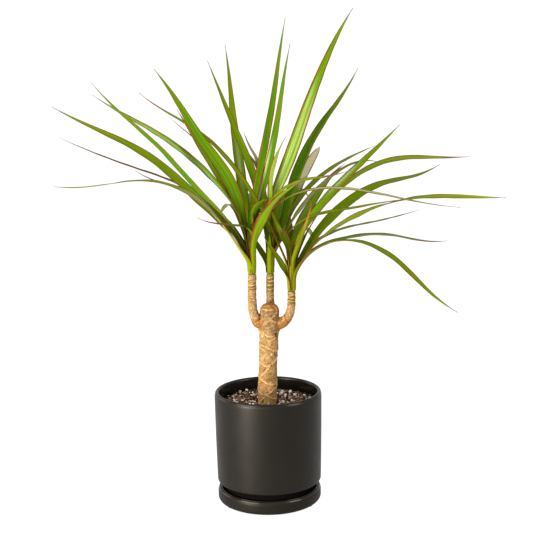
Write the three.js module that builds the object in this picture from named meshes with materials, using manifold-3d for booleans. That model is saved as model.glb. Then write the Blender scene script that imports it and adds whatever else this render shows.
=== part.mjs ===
// Potted dracaena: a cut cane with three shoots, each carrying a crown of narrow arching leaves,
// standing in soil in a dark cylindrical planter on its own saucer.
// Millimetres, +Z up. The origin is the middle of the saucer's sole, and the viewer stands at -Y.
import * as THREE from 'three';
import { mergeVertices } from 'three/addons/utils/BufferGeometryUtils.js';
import Module from 'manifold-3d';

const wasm = await Module();
wasm.setup();

// ---- Driving dimensions ----
const CLEARANCE = 0.3; // between pieces that only rest against each other
const ROUND_STEPS = 40; // facets round the pot, the saucer and the soil

const SAUCER = {
  soleRadius: 42,
  soleRise: 2.1, // the underside outside the sole stands this much higher
  soleChamfer: 1,
  cornerRadius: 4.5,
  radius: 56.4,
  height: 17,
  lipRadius: 2.3, // half the thickness of the wall
  rimRise: 5, // height of the soft rounding outside the rim
  floor: 4,
  wellCorner: 3,
  lugCount: 3,
  lugRadius: 4.2,
  lugTaper: 0.9, // radius at the ground, as a share of the radius above
  lugSides: 12,
  lugPitchRadius: 48,
  lugHeight: 3.3,
  firstLugDegrees: -30,
};

// Heights are measured from the pot's own foot, a narrower base that stands in the saucer.
const POT = {
  height: 120,
  topRadius: 58.1,
  midRadius: 57.7,
  midHeight: 72,
  lowRadius: 56.6,
  bodyFoot: 20.8, // the body overhangs its foot from here up
  edgeRadius: 1.5,
  footRadius: 48,
  footChamfer: 1,
  footInnerRadius: 42,
  footDepth: 5, // recess under the floor, inside the foot ring
  floorTop: 11,
  innerRadius: 52.6,
  shoulderTop: 29, // the inside narrows to the foot between these two heights
  shoulderFoot: 23,
  innerFootRadius: 44,
  innerCorner: 6,
  lipRadius: 2.5,
  rimRise: 4.5,
  drainRadius: 6,
};

const SOIL = {
  top: 110.5, // height above the ground
  edgeDrop: 1.2,
  lumpHeight: 0.9,
  rings: [1, 0.93, 0.81, 0.68, 0.55, 0.42, 0.3], // rings of the lumpy surface, as shares of the radius
  holeRadius: 11.2,
  holeSides: 24,
  holeOvershoot: 10, // how far the drill stands out of the surface
};

const CANE = {
  foot: 45, // height of the buried end above the ground
  lean: 0.042, // sideways drift per millimetre of height
  axisAtSoil: -0.8, // sideways place of the axis just above the soil
  axisHeight: 118, // height at which that place is given
  sides: 16,
};

const STEM_SIDES = 10;
const CROWN_GAP = 0.3;

// Where each shoot ends and its crown begins.
const CROWN_FEET = {
  left: new THREE.Vector3(-14.8, 0, 252),
  middle: new THREE.Vector3(4.6, 12, 250),
  right: new THREE.Vector3(27.2, -1, 233),
};

const BLADE_THICKNESS = 0.8;
const BLADE_STEPS = 8; // facets along a leaf
const SPINE_STEPS = 48; // steps in which a leaf's midrib is walked
const GUTTER = 0.24; // how far the margins rise, as a share of the half width
const SHEATH_WIDTH = 0.62; // width at the root, as a share of the full width
const WIDEST_AT = 0.38; // the widest place, as a share of the length
const TIP_POWER = 1.6;
const TIP_HALF_WIDTH = 0.4;
const ROLL_STATION = 0.4; // the place along the leaf where the first roll angle is reached

// ---- Leaf plans ----
// One row for each leaf, all angles in degrees:
// [root height above the crown's foot, heading (0 right, 90 back), swing of the heading by the tip,
//  length, width, roll at two fifths, roll at the tip, [climb at five even stations, root to tip],
//  and for a blunt leaf a higher power of its tip]
const LEFT_LEAVES = [
  [4, 198, 0, 275, 12, -55, -55, [65, 49, 43, 27, 30]],
  [6, 220, 0, 275, 11, -40, 40, [55, 48, 22, -3, 9]],
  [8, 150, 0, 300, 9, 5, -5, [62, 40, 16, 16, 20]],
  [10, 166, 8, 262, 11, 45, 50, [75, 45, 49, 41, 51]],
  [14, 150, -8, 292, 12, 60, 60, [85, 50, 33, 23, 26]],
  [12, 175, 0, 231, 13.5, -65, -65, [78, 77, 55, 60, 52]],
  [16, 140, 0, 192, 11, 12, -8, [80, 60, 50, 52, 51]],
  [18, 128, 0, 221, 9, 35, 15, [77, 61, 39, 26, 25]],
  [8, 132, 0, 237, 10, 14, -4, [68, 32, 19, 6, 20]],
  [20, 100, 10, 260, 11.5, -12, 18, [41, 58, 56, 73, 68]],
  [8, -72, 6, 190, 11.5, -40, -65, [90, 42, 31, 20, 22]],
  [14, -50, 0, 83, 9, -10, -58, [100, 88, 78, 44, 5]],
  [24, 80, 0, 54, 6, 20, 20, [108, 102, 92, 70, 50]],
  [24, 68, 0, 274, 8.5, 23, 22, [93, 62, 60, 67, 62]],
  [22, 54, 0, 234, 8.5, 20, 25, [83, 65, 69, 74, 69]],
  [12, -33, 0, 176, 8, 42, 30, [82, 68, 37, 9, 20]],
  [10, -30, 0, 281, 7, 20, 16, [93, 40, 3, -9, -2]],
  [22, 248, 0, 158, 3, -50, -65, [115, 19, 10, 11, 19]],
  [6, 92, 0, 230, 11, 10, -12, [70, 38, 8, -18, -38]],
  [10, 104, 0, 200, 11, -8, 10, [64, 34, 6, -16, -34]],
];

const MIDDLE_LEAVES = [
  [22, 126, 6, 234, 9.5, -16, -6, [76, 70, 56, 58, 59]],
  [20, 28, 6, 288, 14, 48, 40, [98, 67, 67, 62, 51]],
  [14, 35, 0, 241, 13.5, 20, 12, [56, 73, 59, 46, 56]],
  [26, 42, 0, 126, 7, 7, 12, [108, 78, 88, 68, 48]],
  [20, 55, 0, 152, 11, 3, 30, [61, 45, 51, 45, 32], 8],
  [16, 40, 0, 205, 10, 0, 16, [60, 53, 32, 19, 13]],
  [12, 24, 0, 180, 10, -50, -43, [60, 55, 42, 25, -15]],
  [8, -17, -16, 181, 8, 20, 27, [74, 45, 13, 12, 10]],
  [4, 125, 0, 52, 9, 6, -8, [40, 50, 46, 44, 43]],
  [24, 100, 6, 186, 8, 50, 0, [58, 69, 40, 19, 37]],
  [20, 102, 0, 160, 8, 53, -26, [59, 72, 50, 16, 16]],
  [8, 84, 0, 230, 11, 12, -10, [70, 36, 4, -20, -38]],
  [14, 74, 0, 220, 11, -10, 8, [66, 38, 10, -12, -30]],
];

const RIGHT_LEAVES = [
  [16, 26, 0, 214, 11, 22, 65, [89, 56, 41, 38, 40]],
  [12, 30, -4, 297, 11, -53, -53, [77, 50, 24, -2, 0]],
  [10, 34, 0, 254, 12.5, 28, 30, [65, 43, 24, 5, 23]],
  [8, 8, -8, 268, 11, -40, 100, [71, 36, 16, -1, -3]],
  [6, 30, 0, 233, 9, 8, 39, [78, 17, 0, -14, 0]],
  [3, -30, -6, 234, 11, 0, 35, [78, 30, -14, -40, -23]],
  [10, 46, 0, 247, 8, 0, 9, [67, 19, 2, 3, 5]],
  [20, -50, 0, 84, 6, -11, -47, [74, 67, 63, 64, 76]],
  [20, 78, -25, 232, 10.5, 32, 40, [76, 23, 18, 24, 17]],
  [14, 174, -44, 283, 7.5, -26, -11, [72, 63, 50, 26, 26]],
  [8, 197, 0, 62, 7, -65, -65, [50, 68, 60, 56, 66]],
  [16, 179, 0, 81, 8, -50, -65, [85, 82, 67, 68, 70]],
  [20, 174, 0, 48, 4.5, -22, -49, [87, 90, 82, 66, 54]],
  [6, 92, 0, 220, 11, 8, -14, [70, 36, 4, -22, -42]],
  [10, 78, 0, 180, 11, -12, 10, [64, 32, 2, -20, -38]],
];

// ---- Materials ----
const material = (color, roughness) => new THREE.MeshStandardMaterial({ color, roughness, metalness: 0 });
const POT_CLAY = material(0x3f3b37, 0.55);
const SAUCER_CLAY = material(0x36332f, 0.4);
const SOIL_MIX = material(0x4a3428, 0.95);
const BARK = material(0xc9a877, 0.8);
const LEAF = material(0x4f8a1d, 0.45);

// ---- Small tools ----
const radians = THREE.MathUtils.degToRad;
const lerp = THREE.MathUtils.lerp;
const polar = (radius, angle, height = 0) =>
  new THREE.Vector3(radius * Math.cos(angle), radius * Math.sin(angle), height);

// Keeps positions only, joins shared vertices and drops triangles that have no area.
function weld(geometry) {
  geometry.deleteAttribute('normal');
  geometry.deleteAttribute('uv');
  const merged = mergeVertices(geometry, 1e-4);
  const source = merged.index.array;
  const kept = [];
  for (let i = 0; i < source.length; i += 3) {
    const [a, b, c] = [source[i], source[i + 1], source[i + 2]];
    if (a !== b && b !== c && c !== a) {
      kept.push(a, b, c);
    }
  }
  merged.setIndex(kept);
  return merged;
}

// Moves every vertex of a plain block or cylinder to where place(vertex) says.
function reshape(geometry, place) {
  const solid = weld(geometry);
  const positions = solid.getAttribute('position');
  const vertex = new THREE.Vector3();
  for (let i = 0; i < positions.count; i += 1) {
    vertex.fromBufferAttribute(positions, i);
    const moved = place(vertex);
    positions.setXYZ(i, moved.x, moved.y, moved.z);
  }
  return solid;
}

function toManifold(geometry) {
  const solid = geometry.getAttribute('normal') || geometry.getAttribute('uv') ? weld(geometry) : geometry;
  return new wasm.Manifold(new wasm.Mesh({
    numProp: 3,
    vertProperties: Float32Array.from(solid.getAttribute('position').array),
    triVerts: Uint32Array.from(solid.index.array),
  }));
}

function toGeometry(manifold) {
  const mesh = manifold.getMesh();
  const geometry = new THREE.BufferGeometry();
  geometry.setAttribute('position', new THREE.BufferAttribute(mesh.vertProperties, mesh.numProp));
  geometry.setIndex(new THREE.BufferAttribute(mesh.triVerts, 1));
  geometry.computeVertexNormals();
  return geometry;
}

// Joins the pieces into one body, and fills any pocket that joining them sealed.
function fuse(geometries) {
  const whole = geometries.map(toManifold).reduce((joined, piece) => joined.add(piece));
  return whole.decompose().reduce((outer, shell) => (shell.volume() > outer.volume() ? shell : outer));
}

function node(name, geometry, look) {
  const mesh = new THREE.Mesh(geometry, look);
  mesh.name = name;
  return mesh;
}

// Points of an arc in a profile, from one angle to another in degrees.
function arc(x, y, radius, from, to, steps) {
  const points = [];
  for (let i = 0; i <= steps; i += 1) {
    const angle = radians(lerp(from, to, i / steps));
    points.push(new THREE.Vector2(x + radius * Math.cos(angle), y + radius * Math.sin(angle)));
  }
  return points;
}

// A rim: a tall quarter ellipse outside and a quarter circle inside.
function rim(radius, top, lipRadius, rise) {
  const crest = radius - lipRadius;
  const outside = arc(0, 0, 1, 0, 90, 3).map(
    (point) => new THREE.Vector2(crest + point.x * lipRadius, top - rise + point.y * rise),
  );
  return [...outside, ...arc(crest, top - lipRadius, lipRadius, 90, 180, 3).slice(1)];
}

// Turns a profile of radius and height about the vertical.
function turned(profile, steps = ROUND_STEPS) {
  return new THREE.LatheGeometry(profile, steps).rotateX(Math.PI / 2);
}

// ---- Saucer ----
function saucer() {
  const s = SAUCER;
  const wallFoot = s.soleRise + s.cornerRadius;
  const wellCornerX = s.radius - 2 * s.lipRadius - s.wellCorner;
  const profile = [
    new THREE.Vector2(0, 0),
    new THREE.Vector2(s.soleRadius, 0),
    new THREE.Vector2(s.soleRadius + s.soleChamfer, s.soleRise),
    ...arc(s.radius - s.cornerRadius, wallFoot, s.cornerRadius, -90, 0, 3),
    ...rim(s.radius, s.height, s.lipRadius, s.rimRise),
    ...arc(wellCornerX, s.floor + s.wellCorner, s.wellCorner, 0, -90, 3),
    new THREE.Vector2(0, s.floor),
  ];
  const lugs = [];
  for (let i = 0; i < s.lugCount; i += 1) {
    const angle = radians(s.firstLugDegrees + (i * 360) / s.lugCount);
    const spot = polar(s.lugPitchRadius, angle, s.lugHeight / 2);
    const lug = new THREE.CylinderGeometry(s.lugRadius, s.lugRadius * s.lugTaper, s.lugHeight, s.lugSides);
    lugs.push(lug.rotateX(Math.PI / 2).translate(spot.x, spot.y, spot.z));
  }
  return node('saucer', toGeometry(fuse([turned(profile), ...lugs])), SAUCER_CLAY);
}

// ---- Pot ----
function pot() {
  const p = POT;
  const profile = [
    new THREE.Vector2(p.drainRadius, p.footDepth),
    new THREE.Vector2(p.footInnerRadius, p.footDepth),
    new THREE.Vector2(p.footInnerRadius, 0),
    new THREE.Vector2(p.footRadius - p.footChamfer, 0),
    new THREE.Vector2(p.footRadius, p.footChamfer),
    new THREE.Vector2(p.footRadius, p.bodyFoot),
    ...arc(p.lowRadius - p.edgeRadius, p.bodyFoot + p.edgeRadius, p.edgeRadius, -90, 0, 3),
    new THREE.Vector2(p.midRadius, p.midHeight),
    ...rim(p.topRadius, p.height, p.lipRadius, p.rimRise),
    new THREE.Vector2(p.innerRadius, p.shoulderTop),
    new THREE.Vector2(p.innerFootRadius, p.shoulderFoot),
    ...arc(p.innerFootRadius - p.innerCorner, p.floorTop + p.innerCorner, p.innerCorner, 0, -90, 3),
    new THREE.Vector2(p.drainRadius, p.floorTop),
    new THREE.Vector2(p.drainRadius, p.footDepth),
  ];
  const mesh = node('pot', toGeometry(toManifold(turned(profile))), POT_CLAY);
  mesh.position.z = SAUCER.floor;
  return mesh;
}

// ---- Cane axis: it leans a little to the right ----
const caneX = (height) => CANE.axisAtSoil + (height - CANE.axisHeight) * CANE.lean;

// ---- Soil: fills the pot to a finger's width below the lip, lumpy on top ----
const lumps = (x, y) =>
  0.5 * Math.sin(x * 0.61 + 1.3) * Math.cos(y * 0.53 - 0.4) +
  0.3 * Math.sin(x * 1.17 - y * 0.83 + 2.1) +
  0.2 * Math.cos(x * 0.37 + y * 1.41);

function soil() {
  const floor = SAUCER.floor + POT.floorTop;
  const radius = POT.innerRadius - CLEARANCE;
  const lowRadius = POT.innerFootRadius - CLEARANCE;
  const shoulder = SAUCER.floor + CLEARANCE;
  const corner = POT.innerCorner;
  const surface = SOIL.rings.map((share) => new THREE.Vector2(radius * share, SOIL.top));
  const profile = [
    new THREE.Vector2(0, floor),
    ...arc(lowRadius - corner, floor + corner, corner, -90, 0, 3),
    new THREE.Vector2(lowRadius, shoulder + POT.shoulderFoot),
    new THREE.Vector2(radius, shoulder + POT.shoulderTop),
    ...surface,
    new THREE.Vector2(0, SOIL.top),
  ];
  const bed = reshape(turned(profile), (v) => {
    if (v.z < SOIL.top) {
      return v;
    }
    const share = Math.hypot(v.x, v.y) / radius;
    v.z += SOIL.lumpHeight * lumps(v.x, v.y) - SOIL.edgeDrop * share ** 6;
    return v;
  });
  const holeFoot = CANE.foot - CLEARANCE;
  const holeHeight = SOIL.top - holeFoot + SOIL.holeOvershoot;
  const hole = new THREE.CylinderGeometry(SOIL.holeRadius, SOIL.holeRadius, holeHeight, SOIL.holeSides);
  const drilled = reshape(hole.rotateX(Math.PI / 2).translate(0, 0, holeFoot + holeHeight / 2), (v) => {
    v.x += caneX(v.z);
    return v;
  });
  return node('soil', toGeometry(toManifold(bed).subtract(toManifold(drilled))), SOIL_MIX);
}

// ---- Cane: trunk with its swollen, healed top, and three shoots grown from it ----
// [height, radius] up the trunk
const TRUNK_GIRTH = [
  [CANE.foot, 8.6], [47, 9.7], [70, 10], [118, 10.4], [129, 10.3], [142, 10.2], [152, 9.7],
  [163, 10], [173, 10.5], [180, 10.1], [186, 10.5], [190, 11.2], [195, 11.8], [200, 11.4],
  [205, 10.3], [210, 10.5], [214.6, 10], [218, 7.6], [219.9, 4.3], [220.4, 2],
];

// [x, y, height, radius] along each shoot, from inside the trunk to its leafy end
const SHOOTS = {
  left: [
    [-2, -1, 197, 7], [-8, -1, 199, 6.2], [-12, -1, 204, 5.4], [-14.3, -0.7, 211.5, 4.8],
    [-15.1, -0.3, 220, 4.5], [-15.1, 0, 238, 4.45], [-14.8, 0, 252, 4.4],
  ],
  middle: [
    [3.6, 4, 198, 6], [4, 9.5, 202, 5.4], [4.2, 12, 210, 4.5], [4.2, 12, 222, 4.1],
    [4.3, 12, 236, 4.1], [4.6, 12, 250, 4.1],
  ],
  right: [
    [6, -1, 197, 7], [13.5, -1, 197.8, 6.4], [19.5, -1, 200.8, 5.5], [24, -1, 206.8, 4.8],
    [26.2, -1, 214.5, 4.4], [26.8, -1, 223, 4.25], [27.2, -1, 233, 4.2],
  ],
};

function trunk() {
  const rings = TRUNK_GIRTH.length - 1;
  const stock = new THREE.CylinderGeometry(1, 1, rings, CANE.sides, rings);
  return reshape(stock.rotateX(Math.PI / 2).translate(0, 0, rings / 2), (v) => {
    const [height, girth] = TRUNK_GIRTH[Math.round(v.z)];
    return new THREE.Vector3(caneX(height) + v.x * girth, v.y * girth, height);
  });
}

function shoot(stations) {
  const path = new THREE.CatmullRomCurve3(stations.map(([x, y, z]) => new THREE.Vector3(x, y, z)));
  const rings = (stations.length - 1) * 2;
  const frames = path.computeFrenetFrames(rings);
  const stock = new THREE.CylinderGeometry(1, 1, rings, STEM_SIDES, rings);
  return reshape(stock.translate(0, rings / 2, 0), (v) => {
    const ring = Math.round(v.y);
    const along = (ring / rings) * (stations.length - 1);
    const before = Math.min(Math.floor(along), stations.length - 2);
    const radius = lerp(stations[before][3], stations[before + 1][3], along - before);
    return path.getPoint(ring / rings)
      .addScaledVector(frames.binormals[ring], v.x * radius)
      .addScaledVector(frames.normals[ring], v.z * radius);
  });
}

function cane() {
  const pieces = [trunk(), ...Object.values(SHOOTS).map(shoot)];
  return node('cane', toGeometry(fuse(pieces)), BARK);
}

// ---- Leaves ----
// Smooth reading of evenly spaced angles, carried on straight past both ends.
function readAngles(angles, t) {
  const last = angles.length - 1;
  const at = THREE.MathUtils.clamp(t, 0, 1) * last;
  const i = Math.min(Math.floor(at), last - 1);
  const f = at - i;
  const p1 = angles[i];
  const p2 = angles[i + 1];
  const p0 = i > 0 ? angles[i - 1] : 2 * p1 - p2;
  const p3 = i < last - 1 ? angles[i + 2] : 2 * p2 - p1;
  const cubic = 3 * (p1 - p2) + p3 - p0;
  return p1 + 0.5 * f * (p2 - p0 + f * (2 * p0 - 5 * p1 + 4 * p2 - p3 + f * cubic));
}

// Walks the midrib from the root, turning as the climb and the heading change.
function midrib(root, heading, swing, length, climbs) {
  const points = [root.clone()];
  for (let k = 0; k < SPINE_STEPS; k += 1) {
    const t = (k + 0.5) / SPINE_STEPS;
    const climb = radians(readAngles(climbs, t));
    const compass = radians(heading + swing * t * t);
    const step = polar(Math.cos(climb), compass, Math.sin(climb));
    points.push(points[k].clone().addScaledVector(step, length / SPINE_STEPS));
  }
  return points;
}

function widthShare(t, tipPower) {
  if (t < WIDEST_AT) {
    return lerp(SHEATH_WIDTH, 1, THREE.MathUtils.smoothstep(t, 0, WIDEST_AT));
  }
  return 1 - ((t - WIDEST_AT) / (1 - WIDEST_AT)) ** tipPower;
}

function blade(foot, plan) {
  const [height, heading, swing, length, width, midRoll, tipRoll, climbs, tipPower = TIP_POWER] = plan;
  const root = foot.clone().add(new THREE.Vector3(0, 0, height));
  const points = midrib(root, heading, swing, length, climbs);
  const stock = new THREE.BoxGeometry(1, 1, BLADE_STEPS, 2, 1, BLADE_STEPS);
  return reshape(stock.translate(0, 0, BLADE_STEPS / 2), (v) => {
    const t = Math.round(v.z) / BLADE_STEPS;
    const k = Math.round(t * SPINE_STEPS);
    const along = points[Math.min(k + 1, SPINE_STEPS)].clone().sub(points[Math.max(k - 1, 0)]).normalize();
    const compass = radians(heading + swing * t * t);
    const level = new THREE.Vector3(-Math.sin(compass), Math.cos(compass), 0);
    const upper = along.clone().cross(level);
    const early = THREE.MathUtils.smoothstep(t, 0, ROLL_STATION);
    const late = THREE.MathUtils.clamp((t - ROLL_STATION) / (1 - ROLL_STATION), 0, 1);
    const roll = radians(midRoll * early + (tipRoll - midRoll) * late);
    const across = level.clone().multiplyScalar(Math.cos(roll)).addScaledVector(upper, Math.sin(roll));
    const face = upper.multiplyScalar(Math.cos(roll)).addScaledVector(level, -Math.sin(roll));
    const half = Math.max((width / 2) * widthShare(t, tipPower), TIP_HALF_WIDTH);
    return points[k].clone()
      .addScaledVector(across, v.x * 2 * half)
      .addScaledVector(face, Math.abs(v.x) * 2 * half * GUTTER + v.y * BLADE_THICKNESS);
  });
}

// [height above the crown's foot, radius] of the shoot's soft tip, wrapped in leaf roots
const HEART_GIRTH = [[CROWN_GAP, 4], [8, 4.3], [18, 4.1], [28, 3.2], [38, 1.8], [44, 0.7]];

function crown(name, foot, leaves) {
  const profile = [
    new THREE.Vector2(0, HEART_GIRTH[0][0]),
    ...HEART_GIRTH.map(([height, radius]) => new THREE.Vector2(radius, height)),
    new THREE.Vector2(0, HEART_GIRTH[HEART_GIRTH.length - 1][0]),
  ];
  const heart = turned(profile, STEM_SIDES).translate(foot.x, foot.y, foot.z);
  return node(name, toGeometry(fuse([heart, ...leaves.map((leaf) => blade(foot, leaf))])), LEAF);
}

const plant = new THREE.Group();
plant.add(
  saucer(),
  pot(),
  soil(),
  cane(),
  crown('crown_left', CROWN_FEET.left, LEFT_LEAVES),
  crown('crown_middle', CROWN_FEET.middle, MIDDLE_LEAVES),
  crown('crown_right', CROWN_FEET.right, RIGHT_LEAVES),
);

export default plant;
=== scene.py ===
import random
from functools import partial
from math import cos, hypot, radians, sin, sqrt, tau

import bmesh
import bpy
import numpy as np
from mathutils import Euler, Matrix, Vector, noise


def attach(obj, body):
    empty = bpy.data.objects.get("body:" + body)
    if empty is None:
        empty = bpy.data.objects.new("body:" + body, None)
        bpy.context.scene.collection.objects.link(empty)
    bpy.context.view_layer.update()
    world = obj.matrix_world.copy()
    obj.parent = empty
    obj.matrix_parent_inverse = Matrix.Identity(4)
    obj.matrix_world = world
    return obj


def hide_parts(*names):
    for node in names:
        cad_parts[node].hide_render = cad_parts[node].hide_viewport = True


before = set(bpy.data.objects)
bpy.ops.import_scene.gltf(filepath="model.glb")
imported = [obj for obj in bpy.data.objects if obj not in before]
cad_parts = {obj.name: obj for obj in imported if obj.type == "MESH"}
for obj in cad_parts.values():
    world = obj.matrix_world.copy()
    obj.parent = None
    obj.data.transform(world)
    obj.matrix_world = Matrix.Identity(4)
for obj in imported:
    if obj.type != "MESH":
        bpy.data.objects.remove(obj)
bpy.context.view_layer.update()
scene = bpy.context.scene
MM = 0.001

# ---- Camera, as in the photograph ----
IMAGE_SIDE = 533
FOCAL_PIXELS = 1100
SENSOR = 36
CAMERA_PLACE = (0.00075, -1.156, 0.458)
CAMERA_PITCH = 9.72
CAMERA_ROLL = -1.0

camera_data = bpy.data.cameras.new("camera")
camera_data.sensor_width = SENSOR
camera_data.lens = FOCAL_PIXELS / IMAGE_SIDE * SENSOR
camera = bpy.data.objects.new("camera", camera_data)
scene.collection.objects.link(camera)
camera.matrix_world = (
    Matrix.Translation(CAMERA_PLACE)
    @ Matrix.Rotation(radians(90 - CAMERA_PITCH), 4, "X")
    @ Matrix.Rotation(radians(CAMERA_ROLL), 4, "Z")
)
scene.camera = camera


# ---- Small tools ----
def smoothstep(x, low, high):
    share = np.clip((np.asarray(x, float) - low) / (high - low), 0, 1)
    return share * share * (3 - 2 * share)


def mix(a, b, share):
    return a + (b - a) * share


def spline(p0, p1, p2, p3, f):
    """Catmull-Rom value a share f of the way from p1 to p2."""
    cubic = 3 * (p1 - p2) + p3 - p0
    return p1 + 0.5 * f * (p2 - p0 + f * (2 * p0 - 5 * p1 + 4 * p2 - p3 + f * cubic))


def smooth_noise(points, scale, seed):
    """Noise at each point, from about -1 to 1. Points are in millimetres."""
    shift = Vector((seed, seed * 1.7, seed * 0.3))
    return np.array([noise.noise(Vector(p) * scale + shift) for p in points])


def ring_points(radius, height, sides, centre=(0, 0)):
    """Points of a level circle."""
    turns = [tau * k / sides for k in range(sides)]
    return [(centre[0] + radius * cos(a), centre[1] + radius * sin(a), height) for a in turns]


def ring_faces(first, count, sides, caps=False):
    """Faces between count rings of points, where first is the number of the first point."""
    faces = []
    last = first + (count - 1) * sides
    for low in range(first, last, sides):
        high = low + sides
        for k in range(sides):
            after = (k + 1) % sides
            faces.append([low + k, low + after, high + after, high + k])
    if caps:
        faces += [list(range(first, first + sides))[::-1], list(range(last, last + sides))]
    return faces


def write_attribute(mesh, key, values):
    values = np.asarray(values, np.float32)
    kind, field = ("FLOAT", "value") if values.ndim == 1 else ("FLOAT_VECTOR", "vector")
    mesh.attributes.new(key, kind, "POINT").data.foreach_set(field, values.ravel())


def new_piece(name, points, faces, material, attributes=None, smooth=True):
    """A mesh object from points in millimetres, riding on the only body."""
    mesh = bpy.data.meshes.new(name)
    mesh.from_pydata((np.asarray(points, float) * MM).tolist(), [], faces)
    mesh.validate()
    for key, values in (attributes or {}).items():
        write_attribute(mesh, key, values)
    if smooth:
        mesh.shade_smooth()
    mesh.materials.append(material)
    piece = bpy.data.objects.new(name, mesh)
    scene.collection.objects.link(piece)
    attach(piece, "root")
    return piece


# ---- Material tools ----
class Shader:
    """A material with one Principled shader, and short calls that add nodes to it."""

    def __init__(self, name, **constants):
        self.material = bpy.data.materials.new(name)
        self.material.use_nodes = True
        self.tree = self.material.node_tree
        self.surface = self.tree.nodes["Principled BSDF"]
        for socket, value in constants.items():
            self.surface.inputs[socket.replace("_", " ")].default_value = value

    def node(self, kind, inputs=(), **settings):
        made = self.tree.nodes.new(kind)
        for key, value in settings.items():
            setattr(made, key, value)
        for key, value in dict(inputs).items():
            self.put(made.inputs[key], value)
        return made

    def put(self, socket, value):
        if isinstance(value, bpy.types.NodeSocket):
            self.tree.links.new(value, socket)
        elif socket.type == "RGBA" and len(value) == 3:
            socket.default_value = (*value, 1)
        else:
            socket.default_value = value

    def vector(self, name):
        made = self.node("ShaderNodeAttribute", attribute_name=name)
        split = self.node("ShaderNodeSeparateXYZ", {0: made.outputs["Vector"]})
        return [split.outputs[axis] for axis in "XYZ"]

    def number(self, name):
        return self.node("ShaderNodeAttribute", attribute_name=name).outputs["Fac"]

    def place(self):
        return self.node("ShaderNodeTexCoord").outputs["Object"]

    def noise(self, place, scale, detail=3, rough=0.55, stretch=None):
        if stretch:
            inputs = {0: place, 1: stretch}
            place = self.node("ShaderNodeVectorMath", inputs, operation="MULTIPLY").outputs[0]
        inputs = {"Vector": place, "Scale": scale, "Detail": detail, "Roughness": rough}
        return self.node("ShaderNodeTexNoise", inputs).outputs["Fac"]

    def spread(self, value, low, high, to_low=0.0, to_high=1.0):
        inputs = {0: value, 1: low, 2: high, 3: to_low, 4: to_high}
        return self.node("ShaderNodeMapRange", inputs, interpolation_type="SMOOTHSTEP").outputs[0]

    def math(self, operation, a, b=0.0):
        return self.node("ShaderNodeMath", {0: a, 1: b}, operation=operation).outputs[0]

    def blend(self, share, a, b, kind="MIX"):
        made = self.node("ShaderNodeMix", data_type="RGBA", blend_type=kind)
        self.put(made.inputs["Factor"], share)
        self.put(made.inputs[6], a)
        self.put(made.inputs[7], b)
        return made.outputs[2]

    def paint(self, *layers):
        """Lays each [share, colour] over the colour so far."""
        for share, tone in layers:
            self.colour = self.blend(share, self.colour, tone)

    def bump(self, height, strength, distance, base=None):
        inputs = {"Height": height, "Strength": strength, "Distance": distance}
        if base is not None:
            inputs["Normal"] = base
        return self.node("ShaderNodeBump", inputs).outputs["Normal"]

    def finish(self, **sockets):
        for socket, value in {"Base_Color": self.colour, **sockets}.items():
            self.put(self.surface.inputs[socket.replace("_", " ")], value)
        return self.material


# ---- Ceramic ----
def ceramic(name, dark, light, rough, shine):
    """Dark fired clay or glaze with faint clouds and grain."""
    shader = Shader(name, Specular_IOR_Level=shine, Specular_Tint=(1, 0.9, 0.78, 1))
    place = shader.place()
    clouds = shader.noise(place, 14, 4)
    grain = shader.noise(place, 2600, 2)
    shader.colour = shader.blend(shader.spread(clouds, 0.3, 0.7), dark, light)
    shader.paint((shader.spread(grain, 0.62, 0.8, 0, 0.3), tuple(1.9 * c for c in light)))
    wear = shader.spread(shader.noise(place, 60, 3), 0.3, 0.7, rough - 0.03, rough + 0.03)
    normal = shader.bump(grain, 0.35, 0.00008)
    normal = shader.bump(shader.noise(place, 90, 2), 0.1, 0.0005, normal)
    return shader.finish(Roughness=wear, Normal=normal)


pot_look = ceramic("pot_ceramic", (0.0038, 0.0028, 0.0018), (0.0058, 0.0044, 0.0029), 0.42, 0.27)
# The foot's material is darker and duller than the body's: painted shade under the body's lower edge
pot_foot_shade = ceramic("pot_ceramic_foot_shade", (0.003, 0.0024, 0.002), (0.0045, 0.0036, 0.003), 0.8, 0.02)
pot_gloss = ceramic("pot_ceramic_gloss", (0.006, 0.0048, 0.0036), (0.0085, 0.0068, 0.0052), 0.22, 0.36)
saucer_look = ceramic("saucer_ceramic", (0.005, 0.0038, 0.0026), (0.0072, 0.0056, 0.0038), 0.46, 0.18)
saucer_gloss = ceramic(
    "saucer_ceramic_gloss", (0.0045, 0.0036, 0.0028), (0.007, 0.0056, 0.0044), 0.14, 0.5
)

LATHE_SIDES = 192


def arc(x, y, radius, start, end, steps):
    angles = np.radians(np.linspace(start, end, steps + 1))
    return [(x + radius * cos(a), y + radius * sin(a)) for a in angles]


def lathe(profile, closed):
    """Points and faces of a profile of radius and height turned about the vertical."""
    points, faces, rings = [], [], []
    for radius, height in profile:
        if radius < 1e-6:
            rings.append([len(points)] * LATHE_SIDES)
            points.append((0, 0, height))
        else:
            rings.append(range(len(points), len(points) + LATHE_SIDES))
            points += ring_points(radius, height, LATHE_SIDES)
    for low, high in zip(rings, rings[1:] + rings[:1] if closed else rings[1:]):
        for k in range(LATHE_SIDES):
            after = (k + 1) % LATHE_SIDES
            faces.append(list(dict.fromkeys([low[k], low[after], high[after], high[k]])))
    return points, faces


def lerp_points(a, b, steps):
    return [tuple(mix(np.array(a), np.array(b), s)) for s in np.linspace(0, 1, steps + 2)[1:-1]]


# ---- Saucer: flat sole with three small feet, upright wall, glossy rim and well ----
FEET = 3
FOOT_SIDES = 32
FOOT_DISTANCE = 48
FOOT_PROFILE = [(0, 0), (3.3, 0), (3.65, 0.15), (3.85, 0.6), (4.2, 2.3), (4.2, 3.3), (0, 3.3)]


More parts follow.
